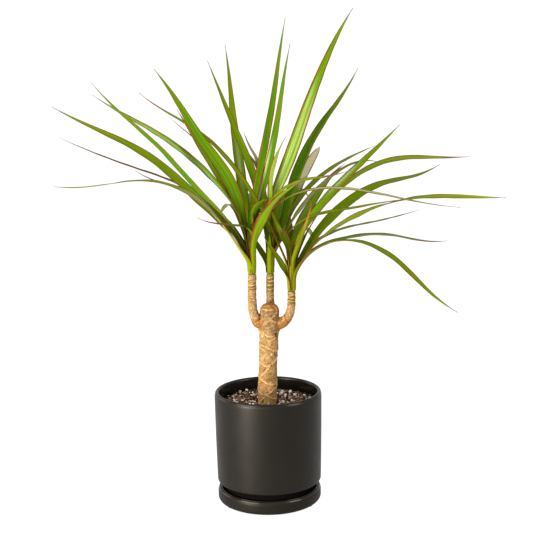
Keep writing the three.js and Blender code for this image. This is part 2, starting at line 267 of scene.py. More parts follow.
def make_saucer():
    profile = [(0, 0), (41.6, 0), (42, 0.15), (42.9, 1.8), (43.2, 2.1)]
    profile += arc(51.9, 6.6, 4.5, -90, 0, 12)
    profile += [(56.4, 9.5)]
    profile += [(54.1 + 2.3 * x, 12 + 4.95 * y) for x, y in arc(0, 0, 1, 0, 80, 16)]
    profile += [(54.0, 16.8), (53.4, 16.6), (53.2, 16.5)]
    profile += arc(52.5, 16.4, 0.65, 10, 180, 10)
    profile += lerp_points((51.85, 16.1), (51.8, 7), 4)
    profile += arc(48.8, 7, 3, 0, -90, 8)
    profile += [(24, 4), (0, 4)]
    points, faces = lathe(profile, closed=False)
    for i in range(FEET):
        angle = radians(-30 + 360 / FEET * i)
        centre = (FOOT_DISTANCE * cos(angle), FOOT_DISTANCE * sin(angle))
        faces += ring_faces(len(points), len(FOOT_PROFILE), FOOT_SIDES)
        for radius, height in FOOT_PROFILE:
            points += ring_points(radius, height, FOOT_SIDES, centre)
    piece = new_piece("saucer_smooth", points, faces, saucer_look)
    tidy_mesh(piece)
    coat(piece, saucer_gloss, lambda radius, height: height > 15.2 or (height > 3.9 and radius < 53))
    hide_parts("saucer")


def tidy_mesh(piece, distance=1e-6):
    """Joins doubled points, drops flat faces and turns every face outwards."""
    work = bmesh.new()
    work.from_mesh(piece.data)
    bmesh.ops.remove_doubles(work, verts=work.verts, dist=distance)
    bmesh.ops.dissolve_degenerate(work, dist=distance, edges=work.edges)
    bmesh.ops.recalc_face_normals(work, faces=work.faces)
    work.to_mesh(piece.data)
    work.free()


def coat(piece, material, where):
    """Gives another material to faces by the radius and height of their middles, in millimetres."""
    piece.data.materials.append(material)
    for face in piece.data.polygons:
        x, y, z = face.center / MM
        if where(hypot(x, y), z):
            face.material_index = len(piece.data.materials) - 1


# ---- Pot: a body with a crisp lower edge on a narrower foot in darker painted shade, rounded lip, drain hole ----
POT_BASE = 4  # the pot stands on the saucer's floor


def make_pot():
    profile = [(6, 5), (41.9, 5), (42, 4.9), (42, 0.3), (42.3, 0), (47.1, 0)]
    profile += arc(47.1, 0.9, 0.9, -70, 0, 4)
    profile += lerp_points((48, 0.9), (48, 20), 3)
    profile += arc(48.8, 20, 0.8, 180, 90, 4)
    profile += arc(55.1, 22.3, 1.5, -90, 0, 9)
    profile += [(56.66, 24), (56.8, 29), (57.04, 40), (57.38, 56), (57.7, 72), (57.94, 96), (58.08, 112)]
    profile += [(55.6 + 2.5 * x, 115.5 + 4.5 * y) for x, y in arc(0, 0, 1, 0, 90, 14)]
    profile += arc(55.6, 117.5, 2.5, 100, 180, 10)
    profile += [(53.05, 112), (52.95, 95), (52.6, 29), (44, 23)]
    profile += arc(38, 17, 6, 0, -90, 8)
    profile += [(6, 11)]
    points, faces = lathe([(radius, height + POT_BASE) for radius, height in profile], closed=True)

    def on_foot(radius, height):
        return height < POT_BASE + 20.7 and radius < 55

    def on_lip_or_inside(radius, height):
        inside = (height > 26 and radius < 54.5) or (height > 14 and radius < 46)
        return inside or height > POT_BASE + 117.6

    piece = new_piece("pot_smooth", points, faces, pot_look)
    tidy_mesh(piece)
    # Painted shade: the foot gets the darker, duller material
    coat(piece, pot_foot_shade, on_foot)
    coat(piece, pot_gloss, on_lip_or_inside)
    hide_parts("pot")


make_saucer()
make_pot()

# ---- Soil ----
SOIL_TOP = 110.5
SOIL_FLOOR = 15
SOIL_RADIUS = 52.3
SOIL_RINGS = 74
SOIL_SIDES = 220
LOWER_SOIL = [
    (SOIL_RADIUS, 98), (SOIL_RADIUS, 60), (52.3, 33.3), (43.7, 27.3), (43.7, 21), (41.9, 16.8),
    (37.7, SOIL_FLOOR),
]
BITS_WITHIN = 52.2  # middles of loose bits
BITS_REACH = 52.4  # their edges
BITS_LEVEL = 112  # where they clear the trunk
TRUNK_CLEARANCE = 10.6


def cane_x(height):
    return -0.8 + (height - 118) * 0.042


def soil_height(x, y):
    waves = (
        0.5 * sin(x * 0.61 + 1.3) * cos(y * 0.53 - 0.4)
        + 0.3 * sin(x * 1.17 - y * 0.83 + 2.1)
        + 0.2 * cos(x * 0.37 + y * 1.41)
    )
    share = min(hypot(x, y) / SOIL_RADIUS, 1)
    grit = 0.7 * noise.noise(Vector((x, y, 3.1)) * 0.42) + 0.35 * noise.noise(Vector((x, y, 8.7)) * 1.1)
    return SOIL_TOP + 0.9 * waves + grit - 1.2 * share**6


def soil_shader():
    shader = Shader("soil_fines", Specular_IOR_Level=0.3)
    place = shader.place()
    grains = shader.noise(place, 520, 5, 0.7)
    damp = shader.noise(place, 60, 3)
    fines = shader.spread(grains, 0.35, 0.68)
    shader.colour = shader.blend(fines, (0.008, 0.0045, 0.003), (0.075, 0.038, 0.022))
    shader.paint((shader.spread(damp, 0.4, 0.65, 0, 0.6), (0.018, 0.01, 0.007)))
    rough = shader.spread(damp, 0.3, 0.7, 0.95, 0.75)
    return shader.finish(Roughness=rough, Normal=shader.bump(grains, 0.9, 0.0006))


def chip_shader():
    shader = Shader("soil_bark_chips", Specular_IOR_Level=0.3)
    made = shader.node("ShaderNodeValToRGB", {0: shader.number("tone")})
    ramp = made.color_ramp
    stops = [
        (0.0, (0.02, 0.01, 0.007)),
        (0.26, (0.045, 0.016, 0.01)),
        (0.48, (0.18, 0.068, 0.037)),
        (0.68, (0.35, 0.158, 0.086)),
        (0.82, (0.52, 0.31, 0.18)),
        (0.93, (0.72, 0.56, 0.42)),
        (1.0, (0.8, 0.72, 0.6)),
    ]
    while len(ramp.elements) < len(stops):
        ramp.elements.new(0.5)
    for element, (at, colour) in zip(ramp.elements, stops):
        element.position = at
        element.color = (*colour, 1)
    fibre = shader.noise(shader.place(), 900, 4, 0.65)
    shader.colour = made.outputs["Color"]
    shader.paint((shader.spread(fibre, 0.3, 0.7, 0.0, 0.55), (0.01, 0.006, 0.004)))
    return shader.finish(Roughness=0.85, Normal=shader.bump(fibre, 0.7, 0.0003))


def perlite_shader():
    shader = Shader("soil_perlite", Specular_IOR_Level=0.4)
    place = shader.place()
    pores = shader.noise(place, 1400, 4, 0.7)
    stain = shader.noise(place, 260, 3)
    shader.colour = shader.blend(shader.spread(stain, 0.46, 0.66), (1, 0.95, 0.86), (0.55, 0.42, 0.29))
    shader.paint((shader.spread(pores, 0.58, 0.75, 0, 0.35), (0.3, 0.26, 0.21)))
    return shader.finish(Roughness=0.9, Normal=shader.bump(pores, 0.8, 0.0003))


CHIP_STOCK = bmesh.new()
bmesh.ops.create_icosphere(CHIP_STOCK, subdivisions=1, radius=1)
CHIP_POINTS = [v.co.copy() for v in CHIP_STOCK.verts]
CHIP_FACES = [[v.index for v in f.verts] for f in CHIP_STOCK.faces]
CHIP_STOCK.free()


def scatter(name, count, sizes, flatness, tones, sink, material, seed, spots=()):
    """Loose angular bits lying on the soil, each inside the pot and clear of the trunk."""
    draw = random.Random(seed)
    points, faces, tone_of = [], [], []
    places = list(spots)
    while len(places) < count + len(spots):
        radius = BITS_WITHIN * sqrt(draw.random())
        angle = draw.uniform(0, tau)
        size = sizes[0] * (sizes[1] / sizes[0]) ** (draw.random() ** 1.7)
        x, y = radius * cos(angle), radius * sin(angle)
        clear = hypot(x - cane_x(BITS_LEVEL), y) >= TRUNK_CLEARANCE + size * 0.45
        if clear and radius + size * 0.55 <= BITS_REACH:
            places.append((x, y, size))
    for x, y, size in places:
        shape = Vector((0.5, draw.uniform(0.28, 0.5), draw.uniform(*flatness))) * size
        turn = Euler((draw.gauss(0, 0.45), draw.gauss(0, 0.45), draw.uniform(0, 6.3))).to_matrix()
        middle = Vector((x, y, soil_height(x, y) + size * draw.uniform(*sink)))
        tone = draw.uniform(*tones)
        first = len(points)
        for corner in CHIP_POINTS:
            uneven = corner * draw.uniform(0.72, 1.15)
            points.append(middle + turn @ Vector(a * b for a, b in zip(uneven, shape)))
            tone_of.append(min(max(tone + draw.gauss(0, 0.03), 0), 1))
        faces += [[first + i for i in face] for face in CHIP_FACES]
    new_piece(name, points, faces, material, {"tone": tone_of}, smooth=False)


# Perlite given one by one, where it shows most: [x, y, size]
WHITE_SPOTS = [
    (-26, -24, 3.6), (-22.5, -24.5, 4.2), (-24, -12, 3.2), (-31, -27, 3.2), (-16, -14, 3.4),
    (13, -10, 3.4), (22, -20, 4.6), (24, -23, 3.4), (18, -27, 3.0), (28, -3, 3.2), (10, -25, 2.6),
    (-14, 20, 3.0), (-36, -8, 2.6), (35, -18, 2.8), (41, 2, 2.6), (-8, 30, 3.2), (16, 27, 3.4),
]


def make_soil():
    points = [(0, 0, soil_height(0, 0))]
    for r in range(1, SOIL_RINGS + 1):
        flat_ring = ring_points(SOIL_RADIUS * r / SOIL_RINGS, 0, SOIL_SIDES)
        points += [(x, y, soil_height(x, y)) for x, y, _ in flat_ring]
    for radius, height in LOWER_SOIL:
        points += ring_points(radius, height, SOIL_SIDES)
    points.append((0, 0, SOIL_FLOOR))
    last = len(points) - 1
    edge = last - SOIL_SIDES
    rings = ring_faces(1, SOIL_RINGS + len(LOWER_SOIL), SOIL_SIDES)
    faces = [[a, d, c, b] for a, b, c, d in rings]
    for k in range(SOIL_SIDES):
        after = (k + 1) % SOIL_SIDES
        faces += [[0, 1 + k, 1 + after], [edge + after, edge + k, last]]
    bed = new_piece("soil_bed", points, faces, soil_shader())
    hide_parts("soil")
    chips = chip_shader()
    scatter("soil_chips_large", 260, (3.4, 8.2), (0.14, 0.26), (0.02, 0.78), (0.05, 0.22), chips, 11)
    scatter("soil_chips_small", 1300, (1.6, 4.4), (0.18, 0.36), (0.0, 1.0), (0.05, 0.4), chips, 23)
    white = perlite_shader()
    scatter("soil_perlite", 300, (1.5, 4.4), (0.32, 0.46), (0.5, 0.5), (0.2, 0.52), white, 37, WHITE_SPOTS)


make_soil()

# ---- Cane ----
TRUNK_GIRTH = [
    (45, 8.6), (47, 9.7), (70, 10), (118, 10.4), (129, 10.3), (142, 10.2), (152, 9.7), (163, 10),
    (173, 10.5), (180, 10.1), (186, 10.5), (190, 11.2), (195, 11.8), (200, 11.4), (205, 10.3), (210, 10.5),
    (214.6, 10), (218, 7.6), (219.9, 4.3), (220.4, 2),
]
SHOOTS = {}
SHOOTS["left"] = [
    (-2, -1, 197, 7), (-8, -1, 199, 6.2), (-12, -1, 204, 5.5), (-14.3, -0.7, 211.5, 5),
    (-15.1, -0.3, 220, 4.7), (-15.1, 0, 238, 4.65), (-14.8, 0, 252, 4.6),
]
SHOOTS["middle"] = [
    (3.6, 4, 198, 6), (4, 9.5, 202, 5.4), (4.2, 12, 210, 4.7), (4.2, 12, 222, 4.2),
    (4.3, 12, 236, 4.3), (4.6, 12, 250, 4.3),
]
SHOOTS["right"] = [
    (6, -1, 197, 7), (13.5, -1, 197.8, 6.4), (19.5, -1, 200.8, 5.6), (24, -1, 206.8, 5),
    (26.2, -1, 214.5, 4.6), (26.8, -1, 223, 4.45), (27.2, -1, 233, 4.4),
]


def curve_through(stations, steps):
    """Catmull-Rom samples through rows of numbers."""
    rows = np.array(stations, float)
    rows = np.vstack([2 * rows[0] - rows[1], rows, 2 * rows[-1] - rows[-2]])
    spans = [rows[i - 1 : i + 3] for i in range(1, len(rows) - 2)]
    return np.array([*[spline(*span, k / steps) for span in spans for k in range(steps)], rows[-2]])


def tube(path, sides=48):
    """Points and faces of a closed tube along rows of x, y, z and radius."""
    centre, radius = path[:, :3], path[:, 3]
    along = np.gradient(centre, axis=0)
    along /= np.linalg.norm(along, axis=1)[:, None]
    side = np.cross(along, np.tile([0.0, 1.0, 0.0], (len(path), 1)))
    side /= np.linalg.norm(side, axis=1)[:, None]
    other = np.cross(along, side)
    points = []
    for i in range(len(path)):
        for k in range(sides):
            turn = tau * k / sides
            points.append(centre[i] + radius[i] * (side[i] * cos(turn) + other[i] * sin(turn)))
    return points, ring_faces(0, len(path), sides, caps=True)


def bell(offset, half, power=2):
    """1 at no offset, and about a third at half."""
    return np.exp(-((offset / half) ** power))


def segment_distance(u, v, path):
    """Least distance from points (u, v) to a line of (u, v) corners."""
    best = np.full(len(u), 1e9)
    for (u0, v0), (u1, v1) in zip(path, path[1:]):
        du, dv = u1 - u0, v1 - v0
        share = np.clip(((u - u0) * du + (v - v0) * dv) / max(du * du + dv * dv, 1e-9), 0, 1)
        best = np.minimum(best, np.hypot(u - u0 - share * du, v - v0 - share * dv))
    return best


# Scars of fallen leaves on the trunk: corners of [degrees round from the viewer, height], raised and pale
TRUNK_SCARS = [
    [
        (-150, 187), (-100, 191), (-64, 190), (-32, 187.7), (-8, 186), (12, 185.2), (32, 185.4), (52, 188),
        (90, 192),
    ],
    [(52, 184.5), (34, 182.8), (16, 181.2), (0, 179)],
    [(-110, 177), (-84, 175), (-58, 172.7), (-40, 171), (-22, 169.4)],
    [(-54, 175.6), (-16, 174.6), (8, 171.6), (32, 169.4), (66, 168.4), (96, 170), (140, 176), (170, 178)],
    [
        (-100, 158), (-77, 156), (-41, 154.5), (-20, 152.9), (2, 152.6), (18, 153.6), (30, 155),
        (46, 157.4), (62, 160.5),
    ],
    [(62, 160.5), (100, 163), (150, 160), (180, 157)],
    [(8, 151.4), (-6, 148.6), (-18, 145.5), (-40, 142)],
    [
        (-120, 143), (-82, 140), (-50, 138.1), (-24, 135.7), (2, 133.4), (27, 132.1), (56, 132.4),
        (89, 134), (150, 141),
    ],
    [(110, 131), (72, 129), (39, 126.5), (16, 123.2), (-6, 120.8), (-35, 121.3), (-58, 123.3), (-110, 127)],
    [(-6, 120.6), (16, 118.4), (41, 116.2), (80, 114.5), (130, 117)],
    [(-21, 118.2), (-38, 114.5), (-54, 111.1)],
    [(-179, 168), (-140, 165), (-104, 167)],
    [(110, 150), (150, 146), (179, 149)],
    [(-179, 130), (-150, 127), (-118, 131)],
    [(120, 186), (150, 190), (179, 188)],
]
# Spots on the trunk: [degrees, height, half width, half height, slant, depth, channel]
TRUNK_SPOTS = [
    (50, 187.2, 2.4, 2.1, -0.4, 2.0, "dark"),
    (59, 184.6, 2.0, 2.2, -0.6, 2.2, "dark"),
    (-42, 185.6, 0.8, 0.8, 0, -0.3, "white"),
    (-14, 180.4, 0.45, 1.8, 0, 0.6, "olive"),
    (-46, 174.0, 1.2, 0.9, 0.3, 0.7, "orange"),
    (-26, 173.9, 1.3, 0.9, 0.2, 0.7, "orange"),
    (-5, 173.0, 1.6, 0.8, -0.4, 0.5, "orange"),
    (24, 153.4, 1.1, 0.9, 0, 1.0, "dark"),
    (-22, 149.2, 0.8, 1.5, 0.7, 1.1, "dark"),
    (-33, 146.8, 0.8, 1.5, 0.7, 0.9, "orange"),
    (-20, 161.0, 1.0, 0.9, 0, 0.2, "orange"),
    (18, 165.9, 0.9, 0.8, 0, 0, "white"),
    (-10, 127.0, 0.8, 0.7, 0, 0.5, "dark"),
    (40, 122.4, 2.6, 2.4, 0.6, 0.3, "olive"),
    (10, 138.2, 3.0, 2.4, 0, 0.2, "brown"),
    (-37, 133.0, 2.8, 2.2, 0, 0, "olive"),
    (-2, 158.6, 2.8, 2.0, 0, 0, "olive"),
    (20, 162.6, 2.4, 3.0, 0, 0, "olive"),
    (8, 145.5, 2.6, 3.0, 0, 0, "olive"),
    (30, 112.5, 2.2, 1.6, 0, 0.3, "olive"),
    (-28, 113.0, 0.9, 1.6, 0.6, 0.6, "dark"),
    (66, 172.5, 1.2, 1.0, 0, 0.4, "brown"),
    (52, 165.0, 1.6, 2.2, 0, 0.2, "brown"),
    (30, 118.3, 1.0, 0.6, 0.5, 0.4, "dark"),
]
# Lines on the front of the swollen top: [corners of (x, z), half width, rise, channel]
KNOB_LINES = [
    ([(-3.8, 214.8), (0, 215), (3.7, 214.6), (6.9, 214.8)], 0.5, 0.25, "cream"),
    (
        [(-2.7, 217.3), (0.5, 218.3), (3.7, 218.8), (8, 218.4), (10.4, 215.4), (11.3, 211.1)],
        0.55, 0.4, "pink",
    ),
    (
        [(10.5, 211.1), (7.8, 207.3), (5.1, 205.2), (1.9, 202.5), (-0.8, 200.9), (-3, 199.3)],
        0.55, 0.5, "cream",
    ),
    ([(1.3, 201.4), (3.5, 202.8), (6.7, 202.4), (9.8, 200.7), (14.1, 199.6)], 0.6, 0.3, "cream"),
    ([(-8.9, 210.6), (-6.8, 207.2)], 0.6, -0.8, "dark"),
    ([(-6, 208.8), (-4.5, 205.9)], 0.7, 0.5, "orange"),
    ([(-8.6, 203.2), (-6.9, 204.4)], 0.8, -1.2, "dark"),
    ([(-15.9, 202.8), (-12.4, 200.9), (-9, 202.6)], 0.4, -0.5, "brown"),
    ([(-12.2, 199.6), (-9, 200.8), (-6.4, 202.8), (-5.6, 205)], 0.6, 0.5, "pink"),
    ([(-5.4, 198.4), (-6.6, 195.2), (-9.4, 194.4)], 0.7, -0.3, "brown"),
    ([(17.9, 206), (18.6, 203.3), (16.8, 201.4)], 0.6, 0.5, "cream"),
    ([(18.8, 207.4), (21.6, 202.7), (23.4, 199.9), (23.9, 197.4)], 0.75, -0.5, "red"),
    ([(15.6, 206.5), (19.5, 208.3)], 0.6, -0.3, "dark"),
]
KNOB_SPOTS = [
    (-4.4, 212.4, 0.9, 1.9, 0, 0.5, "grey"),
    (5.7, 208.0, 1.5, 1.3, 0.2, 0.9, "brown"),
    (8.5, 209.1, 1.1, 0.5, 0.5, 0.6, "dark"),
    (-2.8, 216.3, 1.2, 0.6, 0, 0.5, "dark"),
    (2.4, 215.9, 1.8, 0.6, 0, 0.5, "brown"),
    (8.6, 214.0, 1.7, 2.4, 0.3, 0.2, "orange"),
    (4.6, 201.4, 2.6, 1.1, 0, 0, "orange"),
    (-10.2, 198.0, 4.4, 3.2, 0.2, -0.5, "orange"),
    (-6.2, 196.8, 2.4, 2.4, 0, -0.2, "orange"),
    (18.6, 197.8, 3.8, 3.4, 0, -0.4, "orange"),
    (25.8, 211.0, 0.9, 0.8, 0, 0, "red"),
    (4.0, 218.8, 8.0, 2.6, 0, 0, "cap"),
]
# Bands below the crowns: [degrees, height, reach in degrees, half height, slant per 100 degrees]
STEM_BANDS = {}
STEM_BANDS["left"] = [
    (-55, 245.2, 30, 0.6, 2), (50, 243.2, 28, 0.7, 4), (20, 239.0, 52, 0.9, 3), (-60, 238.6, 26, 0.8, -2),
    (0, 236.2, 50, 0.75, 1), (-62, 234.2, 20, 0.7, 2), (70, 231.6, 22, 1.2, 5), (-4, 226.2, 22, 0.6, -3),
    (-20, 223.8, 40, 0.5, -5), (150, 241, 50, 0.8, 2), (180, 234, 60, 0.7, -2), (140, 228, 40, 0.6, 3),
]
STEM_BANDS["middle"] = [
    (20, 249.0, 25, 0.6, 3), (10, 244.6, 60, 0.9, 3), (-50, 241.8, 30, 0.7, -4), (20, 240.6, 60, 1.0, 2),
    (0, 236.2, 62, 1.1, 2), (-20, 231.6, 30, 0.8, 0), (50, 232.0, 30, 1.3, 2), (40, 227.4, 45, 0.7, 7),
    (65, 223.0, 22, 0.9, 5), (170, 242, 70, 0.9, -2), (180, 234, 60, 0.8, 2),
]
STEM_BANDS["right"] = [
    (-50, 233.2, 28, 0.9, 2), (55, 231.6, 26, 0.8, -2), (-45, 230.4, 30, 0.8, -2), (35, 227.9, 60, 1.1, 3),
    (-60, 224.8, 20, 0.9, -1), (-5, 224.2, 58, 1.0, -3), (10, 220.9, 54, 1.1, -2), (60, 226.0, 24, 0.6, 3),
    (-50, 219.2, 24, 0.5, -4), (170, 229, 70, 1.0, 2), (180, 223, 60, 0.9, -2), (150, 218, 40, 0.6, 3),
]
# Stains that the bark's material reads, three to a vector attribute. The last place of bark_d isn't read.
BARK_GROUPS = {
    "bark_a": ["cream", "orange", "dark"],
    "bark_b": ["olive", "grey", "young"],
    "bark_c": ["pink", "red", "white"],
    "bark_d": ["brown", "cap", "cap"],
}
TRUNK_RADIUS = 10.2  # for degrees round the trunk in millimetres
KNOB_START = 189
RING_STEP = 2.3  # height between the rings of the shoots
CANE_VOXEL = 0.42


def bark_shader():
    shader = Shader("bark", Specular_IOR_Level=0.25)
    place, spread = shader.place(), shader.spread
    cream, orange, dark = shader.vector("bark_a")
    olive, grey, young = shader.vector("bark_b")
    pink, red, white = shader.vector("bark_c")
    brown, cap, _ = shader.vector("bark_d")
    broad = shader.noise(place, 95, 3)
    rust = shader.noise(place, 190, 4, 0.6)
    mottle = shader.noise(place, 330, 4, 0.65)
    streak = shader.noise(place, 420, 3, 0.6, (1, 1, 0.35))
    fleck = shader.noise(place, 600, 3, 0.6)
    speck = shader.noise(place, 1100, 3, 0.6)
    ashen = shader.blend(spread(mottle, 0.46, 0.56), (0.265, 0.15, 0.066), (0.14, 0.066, 0.022))
    pinkish = shader.math("MULTIPLY", spread(mottle, 0.49, 0.58, 0, 0.85), young)
    shader.colour = shader.blend(spread(broad, 0.36, 0.64), (0.36, 0.19, 0.055), (0.49, 0.3, 0.11))
    shader.paint(
        (spread(mottle, 0.5, 0.58, 0, 0.85), (0.21, 0.112, 0.034)),
        (spread(streak, 0.52, 0.7, 0, 0.6), (0.66, 0.42, 0.18)),
        (spread(rust, 0.53, 0.61, 0, 0.7), (0.34, 0.15, 0.034)),
        (young, (0.36, 0.205, 0.062)),
        (grey, ashen),
        (pinkish, (0.6, 0.385, 0.225)),
        (spread(fleck, 0.54, 0.63, 0, 0.65), (0.17, 0.08, 0.02)),
        (spread(fleck, 0.45, 0.36, 0, 0.35), (0.7, 0.49, 0.27)),
        (orange, (0.33, 0.125, 0.014)),
        (cap, (0.31, 0.115, 0.014)),
        (brown, (0.2, 0.095, 0.03)),
        (cream, (0.84, 0.52, 0.23)),
        (pink, (0.66, 0.31, 0.09)),
        (spread(speck, 0.55, 0.7, 0, 0.5), (0.17, 0.085, 0.028)),
        (spread(speck, 0.44, 0.32, 0, 0.45), (0.8, 0.6, 0.34)),
        (olive, (0.18, 0.132, 0.004)),
        (red, (0.26, 0.065, 0.025)),
        (dark, (0.05, 0.018, 0.008)),
        (white, (0.86, 0.8, 0.68)),
    )
    shader.colour = shader.blend(1, shader.colour, (0.83, 0.8, 0.72), "MULTIPLY")
    normal = shader.bump(mottle, 0.6, 0.0006)
    normal = shader.bump(speck, 0.6, 0.00025, normal)
    return shader.finish(Roughness=spread(mottle, 0.3, 0.7, 0.62, 0.85), Normal=normal)


def make_cane():
    heights = np.linspace(TRUNK_GIRTH[0][0], TRUNK_GIRTH[-1][0], 190)
    girth = np.interp(heights, *zip(*TRUNK_GIRTH))
    spine = np.stack([cane_x(heights), 0 * heights, heights, girth], -1)
    paths = {"trunk": spine, **{name: curve_through(rows, 14) for name, rows in SHOOTS.items()}}
    mesh = bpy.data.meshes.new("cane_stock")
    points, faces = [], []
    for path in paths.values():
        more_points, more_faces = tube(path)
        faces += [[len(points) + i for i in face] for face in more_faces]
        points += more_points
    mesh.from_pydata((np.array(points) * MM).tolist(), [], faces)
    stock = bpy.data.objects.new("cane_stock", mesh)
    scene.collection.objects.link(stock)
    remesh = stock.modifiers.new("grid", "REMESH")
    remesh.mode = "VOXEL"
    remesh.voxel_size = CANE_VOXEL * MM
    smooth = stock.modifiers.new("smooth", "SMOOTH")
    smooth.factor = 0.5
    smooth.iterations = 10
    evaluated = stock.evaluated_get(bpy.context.evaluated_depsgraph_get())
    fine = bpy.data.meshes.new_from_object(evaluated)
    bpy.data.objects.remove(stock)

    count = len(fine.vertices)
    flat = np.zeros(count * 3)
    fine.vertices.foreach_get("co", flat)
    place = flat.reshape(-1, 3) / MM
    fine.vertex_normals.foreach_get("vector", flat)
    normal = flat.reshape(-1, 3).copy()
    x, y, z = place.T

    nearest, branch = np.full(count, 1e9), np.zeros(count, int)
    for number, path in enumerate(paths.values()):
        for px, py, pz, radius in path[:: 3 if number == 0 else 2]:
            far = np.sqrt((x - px) ** 2 + (y - py) ** 2 + (z - pz) ** 2) / radius
            better = far < nearest
            nearest[better], branch[better] = far[better], number
    channels = {name: np.zeros(count) for names in BARK_GROUPS.values() for name in names}
    lift = np.zeros(count)

    def stain(name, amount):
        channels[name] = np.maximum(channels[name], np.clip(amount, 0, 1))

    coarse = smooth_noise(place, 0.11, 4.0)
    middling = smooth_noise(place, 0.33, 9.0)
    fine_noise = smooth_noise(place, 0.9, 2.0)
    lift += 0.32 * coarse + 0.3 * middling + 0.16 * fine_noise

    def dent(u, v, row, power, strength, where):
        """A stained spot, where row is [half width, half height, slant, depth, channel]."""
        half_width, half_height, slant, depth, channel = row
        u = u - slant * v
        spot = np.exp(-((u / half_width) ** 2 + (v / half_height) ** 2) ** power) * where
        lift[:] -= depth * spot
        stain(channel, strength * spot)

    turn = np.degrees(np.arctan2(x - cane_x(z), -y))
    on_trunk = branch == 0
    reach = radians(TRUNK_RADIUS)
    for scar in TRUNK_SCARS:
        path = [(a * reach, h) for a, h in scar]
        ridge = bell(segment_distance(turn * reach, z + 0.5 * middling, path), 0.62) * on_trunk
        lift += 0.6 * ridge
        stain("cream", 0.9 * ridge * smoothstep(middling + 0.5 * fine_noise, -0.9, 0.0))
        # Below each scar: a sunken band of the bark's orange, darkened further as painted shade under the
        # ridge
        below = bell(segment_distance(turn * reach, z + 1.5, path), 0.8) * on_trunk
        lift -= 0.22 * below
        stain("orange", 0.85 * below * smoothstep(coarse + middling, -0.5, 0.2))
    for angle, height, *row in TRUNK_SPOTS:
        strength = 0.3 if row[-1] == "olive" else 0.95
        dent((turn - angle) * reach, z - height, row, 1.3, strength, on_trunk)

    front = np.clip(-normal[:, 1] * 2 + 0.5, 0, 1) * (z > KNOB_START)
    for corners, half_width, rise, channel in KNOB_LINES:
        line = bell(segment_distance(x, z, corners), half_width) * front
        lift += rise * line
        stain(channel, 0.8 * line * smoothstep(fine_noise + middling, -0.8, 0.1))
    for spot_x, spot_z, *row in KNOB_SPOTS:
        dent(x - spot_x, z - spot_z, row, 1.5, 0.9, front)
    worn = on_trunk * (0.8 + 0.4 * middling)
    stain("cap", 0.9 * smoothstep(z, 213.5, 217) * worn)
    stain("cap", 0.9 * smoothstep(x, 8.5, 11) * smoothstep(z, 204, 209) * worn)
    swollen = smoothstep(z, KNOB_START, 194) * (1 - smoothstep(z, 213, 216))
    stain("grey", 0.9 * swollen * on_trunk * (0.8 + 0.5 * coarse))
    shoulder = smoothstep(np.where(x < 3, 0.5 - x, x - 6), 2.5, 6.5)
    shoulder *= smoothstep(z, KNOB_START, 193) * smoothstep(z, 206, 202)
    stain("orange", 0.95 * shoulder * smoothstep(middling + coarse, -0.8, 0.0))
    back = np.clip(normal[:, 1] * 2, 0, 1) * on_trunk
    stain("orange", 0.5 * back * smoothstep(smooth_noise(place, 0.2, 31.0), 0.2, 0.5))

    for number, name in enumerate(SHOOTS, start=1):
        stem = branch == number
        path = paths[name]
        centre_x = np.interp(z, path[:, 2], path[:, 0])
        centre_y = np.interp(z, path[:, 2], path[:, 1])
        angle = np.degrees(np.arctan2(x - centre_x, -(y - centre_y)))
        stain("young", 0.95 * stem * smoothstep(z, 198, 207))
        swirl = 0.25 * np.sin(np.radians(2 * angle + 7 * z)) + 0.35 * middling
        rings = np.sin(2 * np.pi * (z / RING_STEP + swirl))
        strong = smoothstep(z, 206, 232)
        lift += stem * rings * (0.05 + 0.1 * strong)
        stain("brown", 0.55 * stem * (rings < -0.7) * (0.4 + 0.6 * strong) * (z > 208))
        for at, height, arc_reach, half_height, slant in STEM_BANDS[name]:
            off = (angle - at + 180) % 360 - 180
            rise = z - height - 0.5 * slant * off / 100 - 0.2 * middling - 0.1 * fine_noise
            band = bell(off, 1.15 * arc_reach, 4) * bell(rise, 1.15 * half_height, 4) * stem
            lift -= 0.28 * band
            stain("olive", np.minimum(1.5 * band, 1))
            edge = bell(off, arc_reach, 4) * bell(rise - 1.5 * half_height, 0.5) * stem
            lift += 0.14 * edge
            stain("cream", 0.9 * edge)

    place += normal * lift[:, None]
    fine.vertices.foreach_set("co", (place * MM).ravel())
    for key, names in BARK_GROUPS.items():
        write_attribute(fine, key, np.stack([channels[n] for n in names], -1))
    fine.shade_smooth()
    fine.materials.clear()
    fine.materials.append(bark_shader())
    fine.name = "cane_bark"
    piece = bpy.data.objects.new("cane_bark", fine)
    scene.collection.objects.link(piece)
    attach(piece, "root")
    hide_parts("cane")


make_cane()

# ---- Leaves ----
CROWN_FEET = {"left": (-14.8, 0, 252), "middle": (4.6, 12, 250), "right": (27.2, -1, 233)}
HEART_GIRTH = [(0.3, 3.6), (8, 3.9), (18, 3.8), (28, 3.1), (38, 1.8), (44, 0.7)]
SPINE_STEPS = 48
ACROSS = 5  # columns on each half of a leaf
HEART_GAP = 0.25  # between the growing point and the middle of a leaf's root
GUTTER_WRAP = 0.5  # half angle of a free blade's gutter at its start, in radians
ROOT_WRAP = 1.35  # the most that a root wraps the crown, likewise
SHEATH_WIDTH = 0.62
WIDEST_AT = 0.38
TIP_POWER = 1.6
ROOT_HALF, TIP_HALF = 4.7, 0.28  # least half widths
ROOT_THICK, TIP_THICK = 0.55, 0.3
RIPPLE = 0.22

